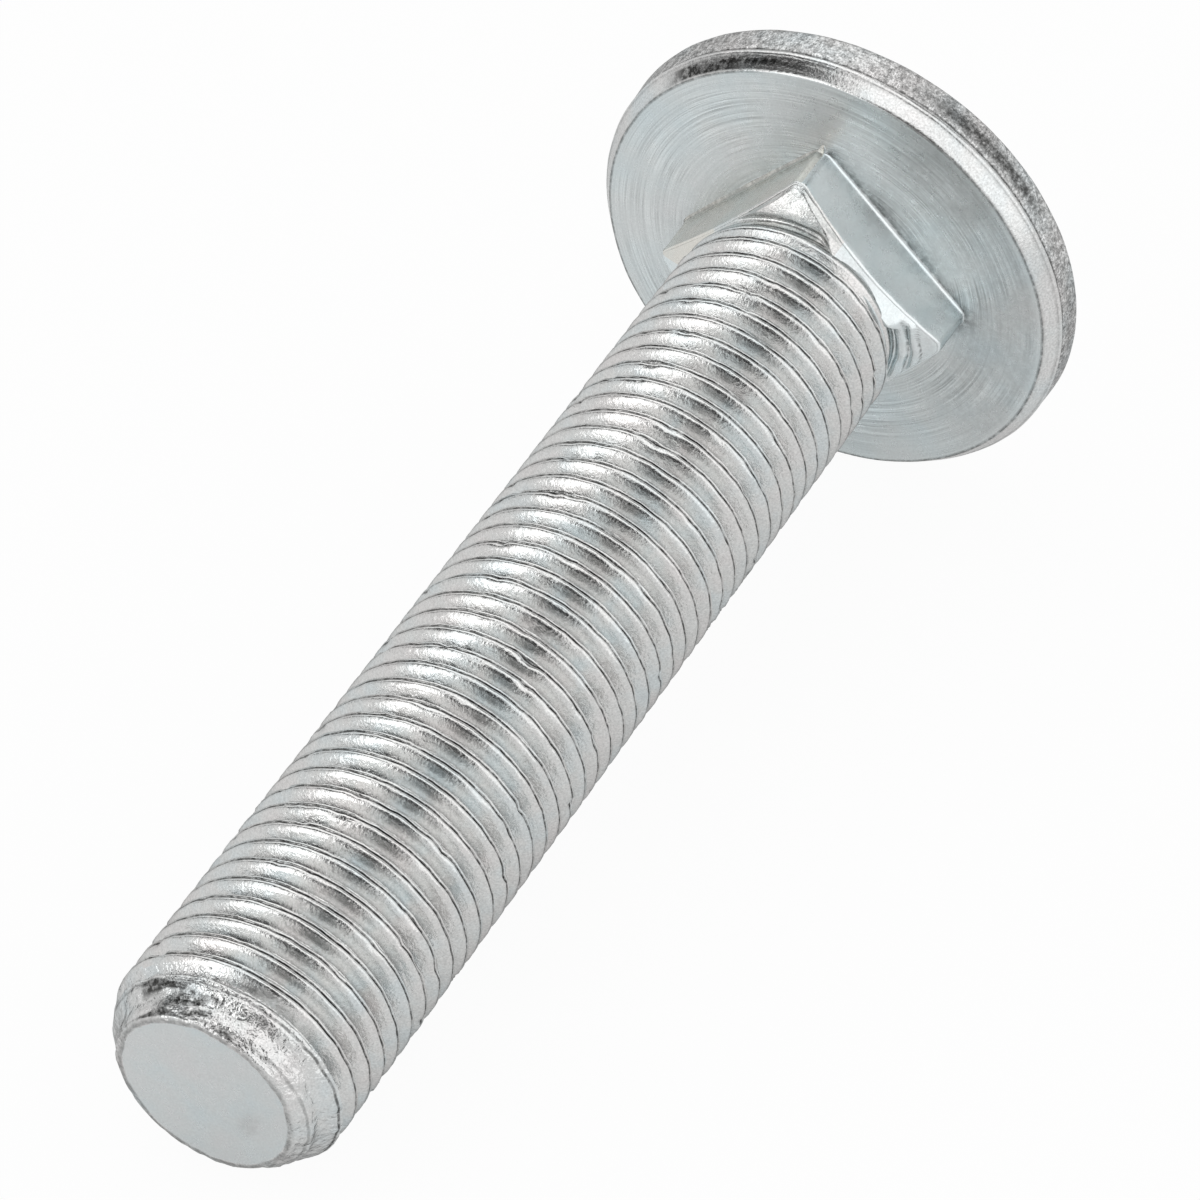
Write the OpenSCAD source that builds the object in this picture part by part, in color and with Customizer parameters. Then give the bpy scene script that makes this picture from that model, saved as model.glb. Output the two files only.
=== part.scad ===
// Cup head square neck bolt, fully threaded, laid on its side as it comes to rest.

/* [Head] */
// widest diameter of the head
head_d = 25.5; // [20:0.1:32]
// height of the domed head over its bearing face
head_h = 6.6; // [5:0.1:9]
// height of the head's widest line over the bearing face
rim_h = 2.4; // [1.5:0.1:3.5]
// rounding between the rim and the dome
rim_r = 0.5; // [0.2:0.05:1]
// height of the bevel round the bearing face
bevel_h = 0.8; // [0.3:0.05:1.5]
// how far the bevel's outer edge lies inside the widest line
bevel_in = 0.1; // [0.05:0.05:0.5]
// width of the bevel, seen from the shank
bevel_w = 0.55; // [0.2:0.05:1.5]

/* [Square neck] */
// width across the flats
neck_w = 11.3; // [10:0.1:13]
// length at the corners
neck_len = 2.5; // [2:0.1:6]
// slope of the shoulder between the corners and the shank
shoulder_deg = 17; // [10:1:40]
// fillet between the shoulder and the shank
neck_fillet = 0.4; // [0.2:0.05:1]
// width of the break on each corner
edge_break = 0.3; // [0.1:0.05:1]
// turn of the corners about the bolt's axis, from straight up
neck_turn = -2; // [-45:1:45]

/* [Shank] */
// length from the bearing face to the end of the point
shank_len = 60.4; // [30:0.1:100]
// diameter of the plain shank under the neck
shank_d = 11.2; // [9.5:0.05:11.5]
// length of plain shank past the neck's corners
plain_len = 2.1; // [1.5:0.1:8]
// diameter of the flat end of the point
point_d = 8.6; // [6:0.1:9.5]
// slope of the point's taper, from the axis
taper_deg = 31; // [20:1:45]
// rounding round the flat end of the point
point_round = 0.35; // [0.1:0.05:0.8]

/* [Thread] */
// outer diameter
thread_d = 11.8; // [11.5:0.05:12]
// distance from one crest to the next
pitch = 1.25; // [1:0.05:1.75]
// depth from crest to root
thread_depth = 0.7; // [0.4:0.05:0.8]
// angle between the two sides of a crest
thread_deg = 60; // [50:1:65]
// distance from the neck's corners to the start of the crest
run_out = 1.42; // [1:0.01:4]
// turns over which the crest rises to its full height
rise_turns = 2; // [0.5:0.25:3]
// flat sides in one turn
turn_sides = 20; // [12:4:28]

/* [Hidden] */
$fn = 96;
head_r = head_d / 2;
bevel_r = head_r - bevel_in;
face_r = bevel_r - bevel_w;
shank_r = shank_d / 2;
thread_r = thread_d / 2;
root_r = thread_r - thread_depth;
point_r = point_d / 2;
corner_r = neck_w / sqrt(2);
sink = 0.15; // how far a buried edge lies inside the metal round it
clear = 0.3; // how far a cutting profile stands off what it leaves whole
dome_steps = 24;
round_steps = 5;

// the dome's circle meets the rounding of the rim without a corner
rim_in = head_r - rim_r;
dome_rise = head_h - rim_h;
dome_r = (rim_in * rim_in + dome_rise * dome_rise - rim_r * rim_r) / (2 * (dome_rise - rim_r));
dome_z = dome_r - head_h;
dome_deg = atan2(dome_z + rim_h, rim_in);

// the shoulder meets the shank in a fillet
shoulder_z = neck_len + (corner_r - shank_r) * tan(shoulder_deg);
fillet_z = shoulder_z + neck_fillet * tan((90 - shoulder_deg) / 2);
plain_z = max(fillet_z + sink, neck_len + plain_len);
lead = shank_r - root_r + sink;

// the point's taper leaves the rounding of its flat end without a corner
taper_from = [point_r + point_round * cos(taper_deg), shank_len - point_round * (1 - sin(taper_deg))];
function taper_z(r) = taper_from[1] - (r - taper_from[0]) / tan(taper_deg);

// thread section over one pitch
side_run = thread_depth * tan(thread_deg / 2);
crest_flat = pitch / 8;
thread_z = neck_len + run_out;
low_r = shank_r - sink;
turns = ceil((shank_len - thread_z) / pitch) + 2;
rows = turns * turn_sides;

// the bolt lies on its head and on the last full crest of its thread
rest_r = thread_r * cos(180 / turn_sides);
rest_z = taper_z(thread_r);
rim_run = [rest_z + rim_h, rim_in - rest_r];
rim_deg = atan2(rim_run[1], rim_run[0]) + asin(rim_r / norm(rim_run));
edge_deg = atan2(bevel_r - rest_r, rest_z + bevel_h);
lie_deg = max(rim_deg, edge_deg);
axis_z = rest_r * cos(lie_deg) + rest_z * sin(lie_deg);
tip_x = -shank_len * cos(lie_deg) - point_r * sin(lie_deg);
dome_x = dome_r - dome_z * cos(lie_deg);

// points along an arc, for profiles
function arc(centre, r, from, to, steps) = [
    for (i = [0 : steps]) let (a = from + (to - from) * i / steps) centre + r * [cos(a), sin(a)]
];

// radius of the crest after so many turns
function crest_r(t) = low_r + (thread_r - low_r) * min(1, t / rise_turns);

// the thread's section on one row: root, both edges of the crest, root
function section(i) = let (
    t = i / turn_sides,
    a = 360 * (t + 0.5 / turn_sides),
    u = [cos(a), sin(a)],
    z = thread_z + pitch * (t + 0.5 / turn_sides),
    top = crest_r(t) * u,
    foot = root_r * u,
    half = crest_flat / 2
) [
    [foot[0], foot[1], z - half - side_run],
    [top[0], top[1], z - half],
    [top[0], top[1], z + half],
    [foot[0], foot[1], z + half + side_run]
];

// head turned from one profile, with its bearing face at zero
module head() {
    rotate_extrude() polygon(concat(
        arc([0, dome_z], dome_r, -90, -dome_deg, dome_steps),
        arc([rim_in, -rim_h], rim_r, -dome_deg, 0, round_steps),
        [[bevel_r, -bevel_h], [face_r, 0], [0, 0]]
    ));
}

// square neck running into the plain shank
module neck() {
    top = plain_z + lead;
    intersection() {
        translate([0, 0, -bevel_h]) linear_extrude(top + bevel_h + clear) rotate(45 + neck_turn)
            intersection() {
                square(neck_w, center = true);
                rotate(45) square(2 * corner_r - edge_break, center = true);
            }
        rotate_extrude() polygon(concat(
            [[0, -2 * bevel_h], [corner_r + clear, -2 * bevel_h]],
            [[corner_r + clear, neck_len - clear * tan(shoulder_deg)]],
            arc([shank_r + neck_fillet, fillet_z], neck_fillet, 270 - shoulder_deg, 180, round_steps),
            [[shank_r, plain_z], [shank_r - lead, top], [0, top]]
        ));
    }
}

// one long ridge wound round the core, before its point is cut
module ridge() {
    side = [for (i = [0 : rows]) each section(i)];
    ends = len(side);
    last = 4 * rows;
    first_loop = [for (i = [0 : turn_sides]) 4 * i, 3, 2, 1];
    last_loop = concat([for (k = [0 : 3]) last + k], [for (i = [1 : turn_sides]) last + 3 - 4 * i]);
    polyhedron(
        points = concat(side, [[0, 0, thread_z], [0, 0, thread_z + pitch * turns]]),
        faces = concat(
            [for (i = [0 : rows - 1], k = [0 : 2]) each
                let (p = 4 * i + k) [[p, p + 1, p + 5], [p, p + 5, p + 4]]],
            [for (i = [0 : rows - turn_sides - 1]) each
                let (p = 4 * i + 3, q = 4 * (i + turn_sides))
                    [[p, q, q + 4], [p, q + 4, p + 4]]],
            [for (k = [0 : len(first_loop) - 1])
                [ends, first_loop[k], first_loop[(k + 1) % len(first_loop)]]],
            [for (k = [0 : len(last_loop) - 1])
                [ends + 1, last_loop[k], last_loop[(k + 1) % len(last_loop)]]]
        )
    );
}

// threaded length, cut to its tapered point
module thread() {
    intersection() {
        ridge();
        rotate_extrude() polygon(concat(
            [[0, 0], [thread_r + clear, 0], [thread_r + clear, taper_z(thread_r + clear)]],
            arc([point_r, shank_len - point_round], point_round, taper_deg, 90, round_steps),
            [[0, shank_len]]
        ));
    }
}

// the bolt stands on the axis, then is laid down with its head towards +X
module bolt() {
    color([0.74, 0.76, 0.77])
        translate([-(tip_x + dome_x) / 2, 0, axis_z]) rotate([0, -90 - lie_deg, 0]) {
            head();
            neck();
            thread();
        }
}

bolt();
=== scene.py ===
import bpy, bmesh, math
from mathutils import Matrix, Vector, noise


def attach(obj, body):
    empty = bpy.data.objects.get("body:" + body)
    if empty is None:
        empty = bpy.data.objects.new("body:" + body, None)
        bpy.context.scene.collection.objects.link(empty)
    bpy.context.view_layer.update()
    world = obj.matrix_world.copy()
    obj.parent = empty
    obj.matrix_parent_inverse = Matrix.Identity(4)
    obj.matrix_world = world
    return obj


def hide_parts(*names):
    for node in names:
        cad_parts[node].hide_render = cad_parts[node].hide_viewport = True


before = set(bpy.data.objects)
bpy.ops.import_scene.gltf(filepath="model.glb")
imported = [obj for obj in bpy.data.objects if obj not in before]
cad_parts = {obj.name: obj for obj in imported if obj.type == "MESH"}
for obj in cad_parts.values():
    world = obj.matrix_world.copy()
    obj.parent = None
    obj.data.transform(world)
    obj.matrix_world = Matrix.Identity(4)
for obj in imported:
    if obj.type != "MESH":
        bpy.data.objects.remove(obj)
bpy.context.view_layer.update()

# the bolt's own axis runs from its bearing face (height 0) to its point; sizes are in mm,
# and degrees round the bolt are counted from its top towards +Y
lying = dict(tilt=6.61107, faceX=26.89342, faceZ=12.47378)
downMatrix = (Matrix.Translation((lying["faceX"] / 1000, 0, lying["faceZ"] / 1000))
              @ Matrix.Rotation(math.radians(-90 - lying["tilt"]), 4, "Y") @ Matrix.Scale(0.001, 4))


def smoothStep(low, high, value):      # low may be above high, for a falling step
    t = min(1.0, max(0.0, (value - low) / (high - low)))
    return t * t * (3 - 2 * t)


def window(value, start, full, fade, end):      # rises from start to full and falls from fade to end
    return smoothStep(start, full, value) * smoothStep(end, fade, value)


def within(value, span):
    return span[0] < value < span[1]


def bell(value, middle, width):
    return math.exp(-((value - middle) / width) ** 2)


def uneven(point, layers):      # soft noise; a layer is the size of its features, a seed and a depth
    total = 0
    for size, seed, depth in layers:
        total += noise.noise(Vector(point) / size + Vector((seed, seed * 0.7, seed * 1.3))) * depth
    return total


def pointAt(radius, azimuth, height):
    return Vector((radius * math.cos(azimuth), radius * math.sin(azimuth), height))


def turnedShell(rings, segments, shape):
    # a spun skin; shape(ring, azimuth) gives each vertex its radius, its height and how much painted shade
    # and soil lies there
    bm = bmesh.new()
    shadeAndSoil = bm.verts.layers.float.new("shadeAndSoil")
    chain = [bm.verts.new((1, 0, i)) for i in range(rings)]
    for a, b in zip(chain, chain[1:]):
        bm.edges.new((a, b))
    bmesh.ops.spin(bm, geom=bm.verts[:] + bm.edges[:], cent=(0, 0, 0), axis=(0, 0, 1), dvec=(0, 0, 0),
                   angle=2 * math.pi, steps=segments, use_merge=True, use_duplicate=False)
    for v in bm.verts:
        azimuth = math.atan2(v.co.y, v.co.x)
        radius, height, shadeAndDirt = shape(round(v.co.z), azimuth)
        v.co = pointAt(radius, azimuth, height)
        v[shadeAndSoil] = shadeAndDirt
    return bm


def closeShell(bm):
    bmesh.ops.remove_doubles(bm, verts=bm.verts[:], dist=1e-5)
    bmesh.ops.recalc_face_normals(bm, faces=bm.faces[:])
    for face in bm.faces:
        face.smooth = True


# head: shallow dome, forged rim, rolled lip, bevel and bearing face
head = dict(radius=12.75, height=6.6, rimHeight=2.4, rimRound=0.5,
            bevelHeight=0.8, bevelIn=0.1, bevelWidth=0.55,
            segments=180, domeRings=16, rimRings=8,
            sideShares=(0.12, 0.25, 0.38, 0.5, 0.62, 0.72),
            bevelShares=(0.3, 0.42, 0.55, 0.7, 0.85),
            faceRings=(11.6, 11, 10.4, 9.8, 9.3, 8.9, 8.5, 8.1, 7.8, 7.5, 7.2, 6.9, 6.6, 6.3, 6.0, 5.7,
                       4, 2, 0),
            faceRadius=11.85,      # what lies outside it is forged and never quite round
            rimWaves=[(9, 3, 0.05), (1.5, 8, 0.022)],
            edgeWaves=[(3, 5, 0.02), (0.9, 9, 0.012)],
            shadeWaves=[(2, 7, 0.4)])

# small rings that follow an edge: distance outwards from it, height, painted shade (in the groove under the
# lip and along the face's edge)
lipRings = [(0.005, -1.2, 0.1), (-0.025, -1.12, 0.8), (0.01, -1.05, 0.15),       # groove under the lip
            (0.045, -0.96, 0), (0.04, -0.88, 0), (0.01, -0.81, 0),
            (-0.045, -0.745, 0.35), (-0.10, -0.70, 0.15)]
faceEdgeRings = [(0.02, -0.045, 0.2), (-0.03, -0.012, 0.75), (-0.10, 0.0, 0.5), (-0.17, 0.004, 0)]

# painted shade and painted reflections on the head: the degrees round it where each mark starts, is full,
# fades and ends, and the heights or radii that it lies between
headShade = dict(rimRadius=12,
                 rimShadow=(-66, -54, -32, -22), rimShadowHeights=(-2.2, -1.15), rimShadowFade=(-1.25, -1.6),
                 rimShadowLevel=0.85,
                 scale=(-6, 12, 36, 46), bevelReflectionHeights=(-0.7, -0.06), bevelReflectionFade=(-0.42, -0.22),
                 bevelReflectionThins=(26, 12), bevelReflectionLevel=0.97,
                 unshadedEdge=(-26, -14, 8, 22), unshadedEdgeRadii=(11.9, 12.3),
                 shadedRimSide=(-120, -100, -40, -10), shadedRimHeights=(-2.3, -1.0), shadedRimLevel=0.2,
                 besideNeck=(-112, -96, -6, 6), neckReflection=((0.34, 1.2), (0.22, 3)), neckReflectionLeft=0.2,
                 shadedFaceSide=(-150, -125, -35, -15), shadedFaceRadii=(7, 8.4), shadedFaceLevel=0.18)


def headProfile():
    h = head
    rimIn = h["radius"] - h["rimRound"]
    rise = h["height"] - h["rimHeight"]
    domeRadius = (rimIn ** 2 + rise ** 2 - h["rimRound"] ** 2) / (2 * (rise - h["rimRound"]))
    centre = domeRadius - h["height"]
    end = math.atan2(centre + h["rimHeight"], rimIn)
    points = []
    for i in range(h["domeRings"] + 1):
        a = -math.pi / 2 + (math.pi / 2 - end) * i / h["domeRings"]
        points.append((domeRadius * math.cos(a), centre + domeRadius * math.sin(a), 0))
    for i in range(1, h["rimRings"] + 1):
        a = -end * (1 - i / h["rimRings"])
        points.append((rimIn + h["rimRound"] * math.cos(a), -h["rimHeight"] + h["rimRound"] * math.sin(a), 0))
    sideLength = h["rimHeight"] - h["bevelHeight"]
    for share in h["sideShares"]:
        points.append((h["radius"] - h["bevelIn"] * share, -h["rimHeight"] + sideLength * share, 0))
    bevelOuter = h["radius"] - h["bevelIn"]
    points += [(bevelOuter + out, height, shadeAndDirt) for out, height, shadeAndDirt in lipRings]
    for share in h["bevelShares"]:
        points.append((bevelOuter - h["bevelWidth"] * share, -h["bevelHeight"] * (1 - share), 0))
    points += [(bevelOuter - h["bevelWidth"] + out, height, shadeAndDirt) for out, height, shadeAndDirt in faceEdgeRings]
    points += [(radius, 0, 0) for radius in h["faceRings"]]
    return points


def rimShade(radius, height, fromTop, shadeAndDirt):
    m = headShade
    onRim = radius > m["rimRadius"]
    # painted reflection of the table's shadow, darkening the rim's right side
    if onRim and within(height, m["rimShadowHeights"]):
        rimShadow = window(fromTop, *m["rimShadow"]) * smoothStep(*m["rimShadowFade"], height)
        shadeAndDirt = max(shadeAndDirt, m["rimShadowLevel"] * rimShadow)
    elif onRim and within(height, m["bevelReflectionHeights"]):      # painted dark reflection in the bevel, thinner towards one end
        thin = smoothStep(*m["bevelReflectionFade"], height) * smoothStep(*m["bevelReflectionThins"], fromTop)
        shadeAndDirt = max(shadeAndDirt, m["bevelReflectionLevel"] * window(fromTop, *m["scale"]) * (1 - thin))
    # the painted shade along the face's edge is left out where that edge catches a bright line
    elif height > m["bevelReflectionHeights"][1] and within(radius, m["unshadedEdgeRadii"]):
        shadeAndDirt *= 1 - window(fromTop, *m["unshadedEdge"])
    # painted reflection of the table's shadow over a wider stretch of the rim's right side
    if onRim and within(height, m["shadedRimHeights"]):
        shadeAndDirt = max(shadeAndDirt, m["shadedRimLevel"] * window(fromTop, *m["shadedRimSide"]))
    return shadeAndDirt


def faceShade(radius, azimuth, fromTop, at):      # painted reflection of the neck in the face close to the neck, strongest beside one flat, and painted shade on one side of the face where it mirrors the table's shadow
    m = headShade
    away = radius - squareRadius(azimuth) + uneven(at, head["shadeWaves"])
    nearNeck = sum(share * smoothStep(reach, 0, away) for share, reach in m["neckReflection"])
    nearNeck *= m["neckReflectionLeft"] + (1 - m["neckReflectionLeft"]) * window(fromTop, *m["besideNeck"])
    darker = smoothStep(*m["shadedFaceRadii"], radius) * window(fromTop, *m["shadedFaceSide"])
    return max(nearNeck, m["shadedFaceLevel"] * darker)


def buildHead():
    points = headProfile()

    def shape(ring, azimuth):
        radius, height, shadeAndDirt = points[ring]
        at = pointAt(radius, azimuth, height)
        fromTop = math.degrees(azimuth)
        shadeAndDirt = rimShade(radius, height, fromTop, shadeAndDirt)
        if radius > head["faceRadius"]:
            radius += uneven(at, head["rimWaves"])
            height += uneven(at, head["edgeWaves"])
        elif height == 0:
            shadeAndDirt = faceShade(radius, azimuth, fromTop, at)
        return radius, height, shadeAndDirt

    bm = turnedShell(len(points), head["segments"], shape)
    closeShell(bm)
    return bm


# square neck, its shoulder and the plain shank
neck = dict(width=11.3, length=2.5, slope=17, fillet=0.2, breakWidth=0.55, turn=-2, shank=5.48, plainEnd=4.15,
            edgeRound=0.16, segments=288, flatRings=9, roundRings=7, coneRings=34,
            cornerRadii=(7.3, 7.85),      # where a flat turns into its corner
            crowding=1.3)                 # the shoulder's rings lie closer together near the shank
# fillet on the bearing face, from inside the head: distance outwards from the flat, height, painted shade in
# the fillet's corner
footRings = [(0.34, -0.5, 0), (0.30, -0.05, 0.2), (0.2, 0.006, 0.8), (0.13, 0.03, 0.3), (0.06, 0.08, 0),
             (0.018, 0.16, 0), (0, 0.25, 0)]

# marks of forging: metal pushed up behind the top corner, a lens where one flat slopes off into the
# shank, flash at the foot, painted shade in the fillet, the cracks and the shoulder's foot, and darker paint
# in a few other places; degrees are counted from the top corner, for the darker corner band from the
# next corner and for lens from the middle of its flat
forging = dict(upset=0.31, upsetReach=(38, 22), upsetRadii=(5.6, 6.1), upsetTop=7.95, upsetRun=1.6,
               upsetDarkening=(0.07, 0.13), upsetDarkens=(0, -22),
               lens=(-31, -16, 28, 35), lensSlope=15, lensTurn=0.5, lensFoot=0.2, lensDarkening=0.1,
               flash=1.1, flashWidth=0.9, flashRings=5, flashLift=0.02, flashFrom=0.1,
               nicks=((1.8, 0.07), (2.1, 0.06)), nickDepth=0.07,
               crease=(0, 40), creaseDarkening=0.8, edgeDarkening=0.35,
               shadedFoot=(3, 87), footShade=0.5, footNarrows=0.6,
               darkerFlat=(4, 9, 80, 88), flatDarkening=0.06,
               darkerCorner=(34, 26), cornerDarkening=0.1,
               shadeAtShank=(0.90, 0.94, 0.97, 1), shankShade=0.75,
               flatWaves=[(3, 17, 0.015)], cornerWear=[(0.45, 18, 0.10)], edgeWaves=[(0.5, 19, 0.02)],
               foldEdge=[(1, 41, 0.10)], foldLumps=[(0.8, 15, 0.3)], foldShape=(0, 0.45, 0.8, 1),
               foldFades=(6, 5), crack=(0.05, 0.01), crackShade=0.8,
               shoulderLumps=[(1.3, 12, 0.035), (0.45, 14, 0.03)], lumpRadii=(5.65, 6.1),
               settle=0.08)      # share of the shoulder over which its marks rise
# torn folds at one corner: radius, width, the degrees where a fold starts and ends, height
folds = [(6.2, 0.62, -74, -119, 0.24), (6.78, 0.52, -76, -112, 0.18)]


def squareRadius(azimuth):
    n = neck
    turned = azimuth - math.radians(n["turn"])
    toFlat = (turned % (math.pi / 2)) - math.pi / 4
    corner = n["width"] / math.sqrt(2) - n["breakWidth"] / 2
    return min(n["width"] / 2 / math.cos(toFlat), corner / math.cos(math.pi / 4 - abs(toFlat)))


def shoulderHeight(radius):
    n = neck
    slope = math.radians(n["slope"])
    cornerRadius = n["width"] / math.sqrt(2)
    foot = n["length"] + (cornerRadius - n["shank"]) * math.tan(slope)
    filletHeight = foot + n["fillet"] * math.tan((math.pi / 2 - slope) / 2)
    inward = radius - n["shank"] - n["fillet"]
    if inward > -n["fillet"] * math.sin(slope):
        return n["length"] + (cornerRadius - radius) * math.tan(slope)
    return filletHeight - math.sqrt(max(0, n["fillet"] ** 2 - inward ** 2))


def shoulderWear(radius, azimuth):      # lift of the folds and painted shade in their cracks, on an uneven shoulder
    f = forging
    at = pointAt(radius, azimuth, 0)
    lift, shadeAndDirt = 0, 0
    for foldRadius, width, start, end, rise in folds:
        edge = foldRadius + uneven((azimuth * 9, foldRadius, 0), f["foldEdge"])
        patch = window(math.degrees(azimuth), end, end + f["foldFades"][0], start - f["foldFades"][1], start)
        inside = (radius - edge + width) / width
        lift += rise * patch * window(inside, *f["foldShape"])
        # painted shade in the crack along each fold's edge
        shadeAndDirt = max(shadeAndDirt, f["crackShade"] * patch * smoothStep(*f["crack"], abs(radius - edge - 0.01)))
    lumps = smoothStep(*f["lumpRadii"], radius) * uneven(at, f["shoulderLumps"])
    return lift * (1 + uneven(at, f["foldLumps"])) + lumps, shadeAndDirt


def neckFoot(ring, side, toCorner, fromCorner):      # fillet, with a thin fin of flash at the top corner
    f = forging
    out, height, shadeAndDirt = footRings[ring - 1]
    flash = f["flash"] * bell(fromCorner, 0, f["flashWidth"]) * max(0, 1 - ring / f["flashRings"])
    # painted shade deep in the fillet along most of the neck's foot
    if within(fromCorner, f["shadedFoot"]) and ring > 1 and height < 0.1:
        shadeAndDirt = f["footShade"]
    if flash > f["flashFrom"]:
        height += f["flashLift"]
    return side + out * (1 - f["footNarrows"] * toCorner) + flash, height, shadeAndDirt * (1 - min(1, flash * 3))


def neckFlat(share, side, edge, azimuth, toCorner, fromCorner):
    f = forging
    low = footRings[-1][1]
    height = low + (edge - neck["edgeRound"] - low) * share
    at = pointAt(side, azimuth, height)
    nicks = sum(bell(height, middle, width) for middle, width in f["nicks"])
    worn = abs(uneven(at, f["cornerWear"])) * share + nicks * f["nickDepth"]
    radius = side + uneven(at, f["flatWaves"]) - toCorner * worn
    # one flat is painted slightly darker
    return radius, height, f["flatDarkening"] * window(fromCorner, *f["darkerFlat"])


def neckShoulder(share, side, drop, edge, azimuth, fromCorner, lens):
    n, f = neck, forging
    start = side - drop
    radius = n["shank"] + (start - n["shank"]) * (1 - share) ** n["crowding"]
    wear, shadeAndDirt = shoulderWear(radius, azimuth)
    settle = smoothStep(0, f["settle"], share)
    upset = smoothStep(*f["upsetReach"], abs(fromCorner)) * settle * smoothStep(*f["upsetRadii"], radius)
    wear += f["upset"] * upset * min(1, (f["upsetTop"] - radius) / f["upsetRun"])
    height = shoulderHeight(radius) + wear * settle
    lensSlope = f["lensSlope"] + f["lensTurn"] * max(0, -45 - fromCorner)      # -45 is the flat's middle
    sloped = edge + (start - radius) / math.tan(math.radians(lensSlope))
    height += (min(sloped, n["plainEnd"] - f["lensFoot"]) - height) * lens
    # the shoulder is painted darker towards the next corner
    darker = f["cornerDarkening"] * smoothStep(*f["darkerCorner"], abs(fromCorner + 90)) * smoothStep(0, 0.05, share)
    # painted shade in the hollow where the shoulder meets the shank
    shadeAtShank = f["shankShade"] * window(share, *f["shadeAtShank"]) * (1 - lens)
    # the upset metal is painted darker, more so towards one side, and the lens slightly darker
    onUpset = upset * (f["upsetDarkening"][0] + f["upsetDarkening"][1] * smoothStep(*f["upsetDarkens"], fromCorner))
    return radius, height, max(shadeAndDirt, shadeAtShank, darker, f["lensDarkening"] * lens, onUpset)


def buildNeck():
    n, f = neck, forging
    topFlat = len(footRings) + n["flatRings"]
    topRound = topFlat + n["roundRings"]
    topCone = topRound + n["coneRings"]
    shank, end = n["shank"], n["plainEnd"]
    endRings = [(shank, end - 0.15, 0), (shank, end - 0.05, 0.2), (shank - 0.05, end, 0.4),
                (shank - 0.3, end + 0.12, 0.4), (4, end + 0.12, 0), (0, end + 0.12, 0)]

    def shape(ring, azimuth):
        side = squareRadius(azimuth)
        edge = shoulderHeight(side)
        toCorner = smoothStep(*n["cornerRadii"], side)
        fromCorner = math.degrees(azimuth) - n["turn"]
        lens = window(-45 - fromCorner, *f["lens"])      # where one flat slopes off to meet the shank
        drop = min(n["edgeRound"] * 0.7, side - shank - 0.01)
        if ring == 0:
            return 0, footRings[0][1], 0
        if ring <= len(footRings):
            return neckFoot(ring, side, toCorner, fromCorner)
        if ring <= topFlat:
            share = (ring - len(footRings)) / n["flatRings"]
            return neckFlat(share, side, edge, azimuth, toCorner, fromCorner)
        if ring <= topRound:      # worn edge between the flat and the shoulder
            turn = math.pi / 2 * (ring - topFlat) / n["roundRings"]
            radius = side - drop * (1 - math.cos(turn))
            height = edge - n["edgeRound"] * (1 - math.sin(turn))
            at = pointAt(radius, azimuth, height)
            radius -= toCorner * abs(uneven(at, f["cornerWear"]))
            shadeAndDirt = 0
            # a darker line is painted along the edge where the flat meets the shoulder, darkest near the top
            # corner
            if ring == topRound and side > 6 and lens < 0.1:
                shadeAndDirt = f["creaseDarkening"] if within(fromCorner, f["crease"]) else f["edgeDarkening"]
            return radius, height + uneven(at, f["edgeWaves"]), shadeAndDirt
        if ring <= topCone:
            share = (ring - topRound) / n["coneRings"]
            return neckShoulder(share, side, drop, edge, azimuth, fromCorner, lens)
        return endRings[ring - topCone - 1]

    bm = turnedShell(topCone + len(endRings) + 1, n["segments"], shape)
    closeShell(bm)
    return bm


# thread: rolled crest with two lips and a seam between them, fading in at the shank and dying out on
# the point, where the painted shade in the seam fades, ridges and dents run over the taper and the end face
# has slumped
thread = dict(pitch=1.25, crest=5.9, root=5.2, phase=0.15, shank=5.43, start=3.15, fadeFrom=3.2, fadeTo=4.7,
              length=60.4, cut=60.28, pointRadius=4.3, pointRound=0.3, taper=31, pointRidge=0.26, segments=96,
              wornFrom=0.75, wornRun=0.2, crestWear=[(0.5, 4, 0.018), (2.2, 6, 0.012)],
              nicks=[(0.75, 9, 0.38)], nickLevel=0.1292,
              drift=[(0.75, 31, 0.065), (3.5, 32, 0.02)],
              seamShadeFades=(58.3, 59.2), seamShadeLoss=0.6,
              ridgeMiddle=0.35, ridgeFade=(60.3, 59.3),
              pointDents=[(0.9, 21, 0.07), (0.45, 22, 0.08)], dentsRise=(57.9, 58.8),
              darkReflections=[(1, 51, 1)], reflectionAround=17, reflectionAlong=3.4, reflectionEdge=(0.12, 0.3), reflectionLevel=0.95,
              reflectionFrom=58.4, reflectionSpan=(-35, -18, 36, 52),
              endRagged=[(0.9, 24, 0.10), (0.35, 25, 0.05)], raggedRadii=(4, 5), raggedDrop=0.4,
              slump=0.07, slumpRadius=(2.4, 0.35), slumpAzimuth=(-2.1, 0.35), slumpDarkening=3)
# place along the axis, share of the depth, painted shade (dark in the seam between the lips, faint at the
# root)
crestLine = [(-0.625, 0.0, 0.1), (-0.54, 0.06, 0), (-0.225, 0.85, 0), (-0.19, 0.95, 0), (-0.14, 1.0, 0),
             (-0.095, 0.985, 0), (-0.06, 0.95, 0.85), (-0.022, 0.88, 1), (0.015, 0.95, 0.85), (0.06, 0.99, 0),
             (0.12, 1.0, 0), (0.175, 0.955, 0), (0.25, 0.84, 0), (0.33, 0.67, 0), (0.555, 0.05, 0),
             (0.625, 0.0, 0.1)]
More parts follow.
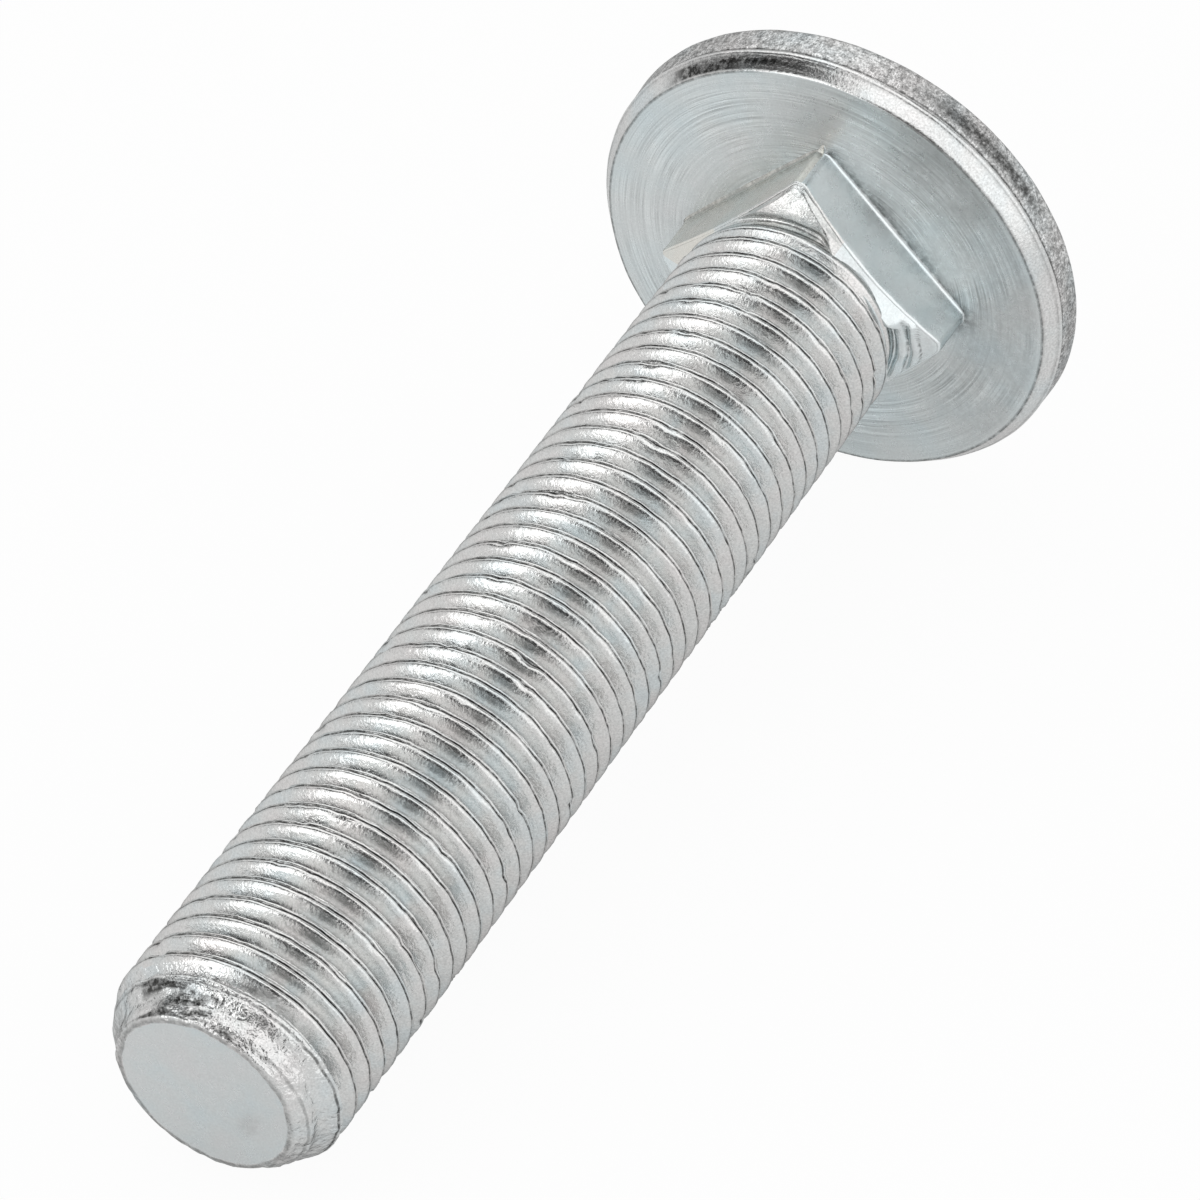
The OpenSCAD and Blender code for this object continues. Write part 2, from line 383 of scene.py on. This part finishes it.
# rings that close the thread inside the neck and on the flat end of the point: radius, height, how much
# darker the rim of the end face is painted
footCap = [(5.3, 2.8, 0), (4, 2.8, 0), (0, 2.8, 0)]
pointCap = [(4.48, 60.33, 0.1), (4.36, 60.385, 0.5), (4.25, 60.4, 0.5), (4.17, 60.395, 0), (3.8, 60.385, 0),
            (3.4, 60.38, 0), (3.0, 60.37, 0), (2.6, 60.365, 0), (2.2, 60.36, 0), (1.8, 60.355, 0),
            (1.2, 60.35, 0), (0, 60.35, 0)]


def taperRadius(height):
    t = thread
    slope = math.radians(t["taper"])
    fromRadius = t["pointRadius"] + t["pointRound"] * math.cos(slope)
    fromHeight = t["length"] - t["pointRound"] * (1 - math.sin(slope))
    if height < fromHeight:
        return fromRadius + (fromHeight - height) * math.tan(slope)
    over = min(1, (height - t["length"] + t["pointRound"]) / t["pointRound"])
    return t["pointRadius"] + t["pointRound"] * math.sqrt(max(0, 1 - over ** 2))


def windThread(bm, shadeAndSoil):
    t = thread
    depth = t["crest"] - t["root"]
    chain = [bm.verts.new((t["root"] + depth * up, 0, place)) for place, up, shadeAndDirt in crestLine]
    for v, (place, up, shadeAndDirt) in zip(chain, crestLine):
        v[shadeAndSoil] = shadeAndDirt
    for a, b in zip(chain, chain[1:]):
        bm.edges.new((a, b))
    bmesh.ops.spin(bm, geom=bm.verts[:] + bm.edges[:], cent=(0, 0, 0), axis=(0, 0, 1), angle=2 * math.pi,
                   steps=t["segments"], dvec=(0, 0, t["pitch"] / t["segments"]), use_merge=False,
                   use_duplicate=False)
    oneTurn = bm.verts[:] + bm.edges[:] + bm.faces[:]
    first = int(t["start"] / t["pitch"]) - 2
    turns = int(t["length"] / t["pitch"]) + 2 - first
    for i in range(1, turns):
        copy = bmesh.ops.duplicate(bm, geom=oneTurn)["geom"]
        verts = [g for g in copy if isinstance(g, bmesh.types.BMVert)]
        bmesh.ops.translate(bm, verts=verts, vec=(0, 0, i * t["pitch"]))
    bmesh.ops.translate(bm, verts=bm.verts[:], vec=(0, 0, first * t["pitch"] + t["phase"]))
    bmesh.ops.remove_doubles(bm, verts=bm.verts[:], dist=1e-4)
    for height, normal in ((t["start"], (0, 0, -1)), (t["cut"], (0, 0, 1))):
        bmesh.ops.bisect_plane(bm, geom=bm.verts[:] + bm.edges[:] + bm.faces[:], plane_co=(0, 0, height),
                               plane_no=normal, clear_outer=True)


def wearThread(bm, shadeAndSoil):
    t = thread
    for v in bm.verts:
        radius = math.hypot(v.co.x, v.co.y)
        azimuth = math.atan2(v.co.y, v.co.x)
        height = v.co.z
        up = (radius - t["root"]) / (t["crest"] - t["root"])
        full = smoothStep(t["fadeFrom"], t["fadeTo"], height)
        radius = t["shank"] + (radius - t["shank"]) * full
        at = pointAt(radius, azimuth, height)
        if up > t["wornFrom"]:      # rolled crests are never even
            share = min(1, (up - t["wornFrom"]) / t["wornRun"]) * full
            nick = max(0, uneven(at, t["nicks"]) - t["nickLevel"])
            radius += (uneven(at, t["crestWear"]) - nick) * share
            v.co.z += uneven(at, t["drift"]) * share
        # the painted shade in the seam fades towards the point
        v[shadeAndSoil] *= full * (1 - t["seamShadeLoss"] * smoothStep(*t["seamShadeFades"], height))
        if height > t["reflectionFrom"]:      # painted dark reflections, in patches between the last ridges
            degrees = math.degrees(azimuth)
            place = (degrees / t["reflectionAround"], height * t["reflectionAlong"], 0)
            reflection = smoothStep(*t["reflectionEdge"], uneven(place, t["darkReflections"]))
            v[shadeAndSoil] = max(v[shadeAndSoil], t["reflectionLevel"] * reflection * window(degrees, *t["reflectionSpan"]))
        ridge = (up - t["ridgeMiddle"]) * t["pointRidge"] * smoothStep(*t["ridgeFade"], height)
        dent = uneven(at, t["pointDents"]) * smoothStep(*t["dentsRise"], height)
        radius = min(radius, taperRadius(height) + ridge + dent)
        v.co.x, v.co.y = radius * math.cos(azimuth), radius * math.sin(azimuth)


def capThread(bm, shadeAndSoil, edges, rings):
    t = thread
    for radius, height, shadeAndDirt in rings:
        made = bmesh.ops.extrude_edge_only(bm, edges=edges)["geom"]
        edges = [g for g in made if isinstance(g, bmesh.types.BMEdge)]
        for v in [g for g in made if isinstance(g, bmesh.types.BMVert)]:
            azimuth = math.atan2(v.co.y, v.co.x)
            ragged, slump = 0, 0
            if within(radius, t["raggedRadii"]):
                ragged = uneven(pointAt(radius, azimuth, height), t["endRagged"])
            if rings is pointCap:
                slump = t["slump"] * bell(radius, *t["slumpRadius"]) * bell(azimuth, *t["slumpAzimuth"])
            v.co = pointAt(radius + ragged, azimuth, height - abs(ragged) * t["raggedDrop"] - slump)
            # the end face is painted darker where it slumps
            v[shadeAndSoil] = shadeAndDirt + slump * t["slumpDarkening"]


def buildThread():
    bm = bmesh.new()
    shadeAndSoil = bm.verts.layers.float.new("shadeAndSoil")
    windThread(bm, shadeAndSoil)
    wearThread(bm, shadeAndSoil)
    bm.normal_update()
    ends = [e for e in bm.edges if e.is_boundary]
    nearNeck = thread["start"] + 1
    capThread(bm, shadeAndSoil, [e for e in ends if e.verts[0].co.z < nearNeck], footCap)
    capThread(bm, shadeAndSoil, [e for e in ends if e.verts[0].co.z > nearNeck], pointCap)
    closeShell(bm)
    return bm


def makeObject(bm, name):
    mesh = bpy.data.meshes.new(name)
    bm.to_mesh(mesh)
    bm.free()
    made = bpy.data.objects.new(name, mesh)
    bpy.context.collection.objects.link(made)
    return made


# finish: one zinc coat, worked differently on each surface
# tone tints the coat, edge is its brightness at grazing angles, and speckle and blotch vary it; grain,
# mottle, swirl, streak and hatch are heights of bumps in mm, and each size is the width of a feature in mm
zinc = dict(colour=(0.69, 0.70, 0.695), warm=(0.705, 0.695, 0.69), cool=(0.655, 0.70, 0.712),
            # the last colour darkens the coat for painted shade, painted reflections and soil
            shadeAndSoil=(0.035, 0.035, 0.033))
finishes = dict(
    zincFace=dict(tone=(0.99, 1.03, 1.04), edge=0.75, tintSize=6, rough=0.30, speckle=0.05,
                  grain=0.008, grainSize=0.14, swirl=0.018, swirlSize=0.085, swirlShade=0.5),
    zincRim=dict(tone=(1.0, 0.995, 0.995), edge=0.5, tintSize=3, rough=0.27, speckle=0.48,
                 grain=0.05, grainSize=0.11, mottle=0.02, mottleSize=0.25, blotch=0.42),
    zincBevel=dict(tone=(1, 1, 1), edge=0.8, tintSize=3, rough=0.16, speckle=0.16,
                   grain=0.018, grainSize=0.15, mottle=0.012, mottleSize=0.5),
    zincDome=dict(tone=(0.98, 1, 1), edge=0.6, tintSize=5, rough=0.26, speckle=0.05,
                  grain=0.01, grainSize=0.2, mottle=0.025, mottleSize=1.5),
    # the neck flats' tone lifts them above the rest of the coat: painted light
    zincNeck=dict(tone=(1.13, 1.19, 1.21), edge=0.95, tintSize=3, rough=0.24, speckle=0.04,
                  grain=0.010, grainSize=0.16, mottle=0.015, mottleSize=0.8),
    # the warm flat's tone lifts it above the rest of the coat too: painted light
    zincWarmNeck=dict(tone=(1.13, 1.10, 1.04), edge=0.95, tintSize=3, rough=0.24, speckle=0.04,
                      grain=0.010, grainSize=0.16, mottle=0.015, mottleSize=0.8),
    zincShoulder=dict(tone=(1.04, 1.04, 1.03), edge=0.9, tintSize=3, rough=0.2, speckle=0.10,
                      grain=0.025, grainSize=0.16, mottle=0.03, mottleSize=0.5),
    zincThread=dict(tone=(1, 0.995, 0.99), edge=0.5, tintSize=2.2, rough=0.13, speckle=0.12,
                    grain=0.008, grainSize=0.11, mottle=0.016, mottleSize=0.3, streak=0.006, hatch=0.016),
    zincPoint=dict(tone=(1, 1, 1), edge=0.6, tintSize=2.5, rough=0.13, speckle=0.12,
                   grain=0.014, grainSize=0.13, mottle=0.13, mottleSize=0.42),
    zincEnd=dict(tone=(0.97, 1.0, 1.01), edge=0.7, tintSize=3, rough=0.32, speckle=0.05,
                 grain=0.008, grainSize=0.13, mottle=0.012, mottleSize=0.9))


def reckon(tree, operation, *values):      # a Math node; each value is a number or a socket
    node = tree.nodes.new("ShaderNodeMath")
    node.operation = operation
    for socket, value in zip(node.inputs, values):
        if isinstance(value, (int, float)):
            socket.default_value = value
        else:
            tree.links.new(value, socket)
    return node.outputs[0]


def spread(tree, value, low, high, toLow, toHigh):
    node = tree.nodes.new("ShaderNodeMapRange")
    for socket, level in zip(("From Min", "From Max", "To Min", "To Max"), (low, high, toLow, toHigh)):
        node.inputs[socket].default_value = level
    tree.links.new(value, node.inputs["Value"])
    return node.outputs["Result"]


def cloud(tree, vector, size, detail=3, rough=0.55):
    node = tree.nodes.new("ShaderNodeTexNoise")
    node.inputs["Scale"].default_value = 1 / size
    node.inputs["Detail"].default_value = detail
    node.inputs["Roughness"].default_value = rough
    tree.links.new(vector, node.inputs["Vector"])
    return node.outputs["Fac"]


def stretched(tree, vector, scale):
    node = tree.nodes.new("ShaderNodeMapping")
    node.inputs["Scale"].default_value = scale
    tree.links.new(vector, node.inputs["Vector"])
    return node.outputs["Vector"]


def blended(tree, kind, share, first, second):
    node = tree.nodes.new("ShaderNodeMix")
    node.data_type, node.blend_type = "RGBA", kind
    for socket, value in ((node.inputs["Factor"], share), (node.inputs[6], first), (node.inputs[7], second)):
        if isinstance(value, (int, float, tuple)):
            socket.default_value = value
        else:
            tree.links.new(value, socket)
    return node.outputs[2]


def boltAxes(tree):      # millimetres along the bolt's own axes
    place = tree.nodes.new("ShaderNodeTexCoord")
    axes = tree.nodes.new("ShaderNodeMapping")
    angle = math.radians(90 + lying["tilt"])
    face = Matrix.Rotation(angle, 4, "Y") @ Vector((lying["faceX"], 0, lying["faceZ"]))
    axes.inputs["Rotation"].default_value = (0, angle, 0)
    axes.inputs["Scale"].default_value = (1000, 1000, 1000)
    axes.inputs["Location"].default_value = -face
    tree.links.new(place.outputs["Object"], axes.inputs["Vector"])
    return axes.outputs["Vector"]


# turned marks: how much they vary on the way round, how sharply they part, the radii and strengths
# between which they fade, and the patches where they are worn away
turning = dict(around=1.6, sharp=(0.36, 0.64, 0, 1), fade=(9.5, 12, 1, 0.35),
               patchSize=4, patches=(0.42, 0.58, 0.2, 1))


def turnedMarks(tree, axes, look):      # height and shade of the marks
    parts = tree.nodes.new("ShaderNodeSeparateXYZ")
    tree.links.new(axes, parts.inputs[0])
    x, y = parts.outputs["X"], parts.outputs["Y"]
    squares = reckon(tree, "ADD", reckon(tree, "MULTIPLY", x, x), reckon(tree, "MULTIPLY", y, y))
    radius = reckon(tree, "SQRT", squares)
    ring = tree.nodes.new("ShaderNodeCombineXYZ")
    for axis, value in (("X", x), ("Y", y)):
        scaled = reckon(tree, "MULTIPLY", value, turning["around"])
        tree.links.new(reckon(tree, "DIVIDE", scaled, radius), ring.inputs[axis])
    tree.links.new(reckon(tree, "DIVIDE", radius, look["swirlSize"]), ring.inputs["Z"])
    marks = spread(tree, cloud(tree, ring.outputs[0], 1, 3, 0.6), *turning["sharp"])
    patches = spread(tree, cloud(tree, axes, turning["patchSize"], 2), *turning["patches"])
    strength = reckon(tree, "MULTIPLY", spread(tree, radius, *turning["fade"]), patches)
    height = reckon(tree, "MULTIPLY", marks, reckon(tree, "MULTIPLY", strength, look["swirl"]))
    worn = reckon(tree, "MULTIPLY", reckon(tree, "SUBTRACT", marks, 0.5),
                  reckon(tree, "MULTIPLY", strength, look["swirlShade"]))
    return height, reckon(tree, "ADD", worn, 1)


def coatColour(tree, axes, look, shade):      # tinted zinc, darker where painted shade, painted reflections and soil lie
    tint = tree.nodes.new("ShaderNodeValToRGB")
    tint.color_ramp.elements.new(0.5)
    stops = ((0.32, "cool"), (0.5, "colour"), (0.68, "warm"))
    for element, (at, colour) in zip(tint.color_ramp.elements, stops):
        element.position = at
        element.color = (*[c * k for c, k in zip(zinc[colour], look["tone"])], 1)
    tree.links.new(cloud(tree, axes, look["tintSize"]), tint.inputs["Fac"])
    grey = tree.nodes.new("ShaderNodeCombineColor")
    for socket in grey.inputs[:3]:
        tree.links.new(shade, socket)
    coat = blended(tree, "MULTIPLY", 1.0, tint.outputs["Color"], grey.outputs[0])
    shadeAndSoil = tree.nodes.new("ShaderNodeAttribute")
    shadeAndSoil.attribute_name = "shadeAndSoil"
    patchy = spread(tree, cloud(tree, axes, 0.4, 4, 0.7), 0.38, 0.56, 0.4, 1)
    share = reckon(tree, "MULTIPLY", shadeAndSoil.outputs["Fac"], patchy)
    return blended(tree, "MIX", share, coat, (*zinc["shadeAndSoil"], 1))


def makeZinc(name):
    look = finishes[name]
    mat = bpy.data.materials.new(name)
    mat.use_nodes = True
    tree = mat.node_tree
    axes = boltAxes(tree)
    shade = spread(tree, cloud(tree, axes, 0.11, 2), 0.3, 0.7, 1 - look["speckle"], 1 + look["speckle"])
    heights = [reckon(tree, "MULTIPLY", cloud(tree, axes, look["grainSize"], 4, 0.6), look["grain"])]
    if "mottle" in look:
        heights.append(reckon(tree, "MULTIPLY", cloud(tree, axes, look["mottleSize"]), look["mottle"]))
    if "blotch" in look:
        patches = cloud(tree, axes, look["mottleSize"] * 1.3, 4, 0.65)
        shade = reckon(tree, "MULTIPLY", shade,
                       spread(tree, patches, 0.38, 0.62, 1 - look["blotch"], 1 + look["blotch"] * 0.5))
    if "streak" in look:      # fine lines left by the rolling dies, round the thread and down its flanks
        for scale, depth in (((0.5, 0.5, 9), look["streak"]), ((6, 6, 1), look["hatch"])):
            lines = cloud(tree, stretched(tree, axes, scale), 1, 3, 0.6)
            heights.append(reckon(tree, "MULTIPLY", lines, depth))
    if "swirl" in look:
        marks, worn = turnedMarks(tree, axes, look)
        heights.append(marks)
        shade = reckon(tree, "MULTIPLY", shade, worn)
    height = heights[0]
    for extra in heights[1:]:
        height = reckon(tree, "ADD", height, extra)
    bump = tree.nodes.new("ShaderNodeBump")
    bump.inputs["Strength"].default_value = 1
    bump.inputs["Distance"].default_value = 0.001
    tree.links.new(height, bump.inputs["Height"])
    shader = tree.nodes["Principled BSDF"]
    shader.inputs["Metallic"].default_value = 1
    shader.inputs["Specular Tint"].default_value = (look["edge"], look["edge"], look["edge"], 1)
    tree.links.new(coatColour(tree, axes, look, shade), shader.inputs["Base Color"])
    rough = spread(tree, cloud(tree, axes, 0.5, 4), 0.3, 0.7, look["rough"] * 0.75, look["rough"] * 1.3)
    tree.links.new(rough, shader.inputs["Roughness"])
    tree.links.new(bump.outputs["Normal"], shader.inputs["Normal"])
    return mat


# the heights, radii and degrees round the bolt that part the finishes
parting = dict(faceHeight=-0.02, faceRadius=12.15, bevelHeight=-1.0, bevelRadius=11.5, domeRadius=12.2,
               shoulderDepth=0.12, shoulderTop=3.9, shoulder=(-29, 50), warmFlat=(-2, 88),
               pointHeight=58.1, endHeight=60.3, endRadius=4.2)


def headFinish(at):
    p, radius = parting, math.hypot(at.x, at.y)
    if at.z > p["faceHeight"] and radius < p["faceRadius"]:
        return "zincFace"
    if at.z > p["bevelHeight"] and radius > p["bevelRadius"]:
        return "zincBevel"
    return "zincDome" if radius < p["domeRadius"] else "zincRim"


def neckFinish(at):
    p = parting
    above = shoulderHeight(math.hypot(at.x, at.y)) - p["shoulderDepth"]
    fromTop = math.degrees(math.atan2(at.y, at.x))
    if above < at.z < p["shoulderTop"] and within(fromTop, p["shoulder"]):
        return "zincShoulder"
    return "zincWarmNeck" if within(fromTop, p["warmFlat"]) else "zincNeck"


def threadFinish(at):
    p = parting
    if at.z > p["endHeight"] and math.hypot(at.x, at.y) < p["endRadius"]:
        return "zincEnd"
    return "zincPoint" if at.z > p["pointHeight"] else "zincThread"


def buildBolt():
    for name, builder, finishAt in (("boltHead", buildHead, headFinish), ("boltNeck", buildNeck, neckFinish),
                                    ("boltThread", buildThread, threadFinish)):
        bm = builder()
        used = []
        for face in bm.faces:
            finish = finishAt(face.calc_center_median())
            if finish not in used:
                used.append(finish)
            face.material_index = used.index(finish)
        bmesh.ops.transform(bm, matrix=downMatrix, verts=bm.verts[:])
        made = makeObject(bm, name)
        for finish in used:
            made.data.materials.append(makeZinc(finish))
        made.data.set_sharp_from_angle(angle=math.radians(50))
        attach(made, "root")
        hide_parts("bolt")
        print("built", name, len(made.data.polygons), "faces")


buildBolt()

# table, lamps and the surroundings that the metal mirrors
studio = dict(table=1.6, tableShade=0.86, glowSeen=0.95, glowMirrored=0.4, sky=0.79, wall=0.82,
              panel=dict(power=0.21, width=0.24, height=0.2, location=(-0.535, 0.265, 0.105),
                         target=(0, 0, 0.01)),
              overhead=dict(power=0.7, width=0.62, height=0.62, location=(0.134, 0.233, 0.827),
                            target=(0, 0, 0)))
# pale and dark areas: azimuth, height above the table, inner and outer spread in degrees, brightness
walls = [(84, 42, 9, 22, 1.15), (152, 30, 8, 18, 1.7), (-45, 62, 12, 24, 0.22), (-42, 43, 5, 14, 0.5),
         (-108, 26, 24, 40, 1.28), (-163, 60, 12, 27, 1.38), (-165, 22, 10, 17, 0.03), (176, 25, 6, 13, 0.15),
         (-178, 1, 6, 14, 0.22), (-169, 12, 5, 10, 0.04), (38, 48, 6, 15, 1.2), (46, 8, 10, 26, 0.55),
         (139, 52, 9, 16, 0.05), (117, 39, 9, 17, 0.05), (100, 20, 5, 11, 0.1)]
eye = dict(lens=185.12, sensor=36, location=(-0.2004546, -0.1096296, 0.1889241),
           direction=(0.69367703, 0.37295133, -0.61621383))


def aimAt(thing, target):
    thing.rotation_euler = (Vector(target) - thing.location).to_track_quat("-Z", "Y").to_euler()


def makeTable():
    bm = bmesh.new()
    bmesh.ops.create_grid(bm, x_segments=1, y_segments=1, size=studio["table"])
    table = makeObject(bm, "table")
    mat = bpy.data.materials.new("tablePaper")
    mat.use_nodes = True
    tree = mat.node_tree
    shader = tree.nodes["Principled BSDF"]
    shader.inputs["Base Color"].default_value = (*[studio["tableShade"]] * 3, 1)
    shader.inputs["Roughness"].default_value = 0.9
    glow = tree.nodes.new("ShaderNodeEmission")
    mix = tree.nodes.new("ShaderNodeMixShader")
    path = tree.nodes.new("ShaderNodeLightPath")
    mirrored = reckon(tree, "MAXIMUM", path.outputs["Is Glossy Ray"], path.outputs["Is Transmission Ray"])
    glowSeen = reckon(tree, "MULTIPLY", path.outputs["Is Camera Ray"], studio["glowSeen"])
    glowMirrored = reckon(tree, "MULTIPLY", mirrored, studio["glowMirrored"])
    tree.links.new(reckon(tree, "MAXIMUM", glowSeen, glowMirrored), mix.inputs[0])
    tree.links.new(shader.outputs[0], mix.inputs[1])
    tree.links.new(glow.outputs[0], mix.inputs[2])
    tree.links.new(mix.outputs[0], tree.nodes["Material Output"].inputs["Surface"])
    table.data.materials.append(mat)


def makeLamp(name):
    look = studio[name]
    lamp = bpy.data.lights.new(name, "AREA")
    lamp.shape = "RECTANGLE"
    lamp.size, lamp.size_y = look["width"], look["height"]
    lamp.energy = look["power"]
    holder = bpy.data.objects.new(name, lamp)
    holder.location = look["location"]
    aimAt(holder, look["target"])
    bpy.context.collection.objects.link(holder)


def wallLevel(tree, direction):      # brightness of the surroundings in each direction
    level = studio["wall"]
    for azimuth, height, inner, outer, shade in walls:
        a, h = math.radians(azimuth), math.radians(height)
        dot = tree.nodes.new("ShaderNodeVectorMath")
        dot.operation = "DOT_PRODUCT"
        dot.inputs[1].default_value = (math.cos(a) * math.cos(h), math.sin(a) * math.cos(h), math.sin(h))
        tree.links.new(direction, dot.inputs[0])
        fade = tree.nodes.new("ShaderNodeMapRange")
        fade.interpolation_type = "SMOOTHSTEP"
        fade.inputs["From Min"].default_value = math.cos(math.radians(outer))
        fade.inputs["From Max"].default_value = math.cos(math.radians(inner))
        tree.links.new(dot.outputs["Value"], fade.inputs["Value"])
        blend = tree.nodes.new("ShaderNodeMix")
        blend.data_type = "FLOAT"
        tree.links.new(fade.outputs[0], blend.inputs["Factor"])
        if isinstance(level, float):
            blend.inputs[2].default_value = level
        else:
            tree.links.new(level, blend.inputs[2])
        blend.inputs[3].default_value = shade
        level = blend.outputs[0]
    return level


def makeWorld():
    world = bpy.data.worlds.new("studio")
    bpy.context.scene.world = world
    world.use_nodes = True
    tree = world.node_tree
    back = tree.nodes["Background"]
    back.inputs["Color"].default_value = (1, 1, 1, 1)
    back.inputs["Strength"].default_value = studio["sky"]
    white = tree.nodes.new("ShaderNodeBackground")
    white.inputs["Strength"].default_value = 1
    mix = tree.nodes.new("ShaderNodeMixShader")
    path = tree.nodes.new("ShaderNodeLightPath")
    seen = path.outputs["Is Camera Ray"]
    mirrored = reckon(tree, "MAXIMUM", path.outputs["Is Glossy Ray"], path.outputs["Is Transmission Ray"])
    tree.links.new(reckon(tree, "MAXIMUM", seen, mirrored), mix.inputs[0])
    tree.links.new(back.outputs[0], mix.inputs[1])
    tree.links.new(white.outputs[0], mix.inputs[2])
    tree.links.new(mix.outputs[0], tree.nodes["World Output"].inputs["Surface"])
    place = tree.nodes.new("ShaderNodeTexCoord")
    unseen = reckon(tree, "SUBTRACT", 1, seen)      # the eye itself sees plain white
    mirroredLevel = reckon(tree, "MULTIPLY", wallLevel(tree, place.outputs["Generated"]), unseen)
    tree.links.new(reckon(tree, "ADD", mirroredLevel, seen), white.inputs["Color"])


def makeCamera():
    cam = bpy.data.cameras.new("camera")
    cam.lens, cam.sensor_width = eye["lens"], eye["sensor"]
    cam.clip_start, cam.clip_end = 0.01, 20
    holder = bpy.data.objects.new("camera", cam)
    holder.location = eye["location"]
    aimAt(holder, holder.location + Vector(eye["direction"]))
    bpy.context.collection.objects.link(holder)
    bpy.context.scene.camera = holder


makeTable()
makeWorld()
makeLamp("panel")
makeLamp("overhead")
makeCamera()
bpy.context.scene.view_settings.view_transform = "Standard"
print("studio ready")
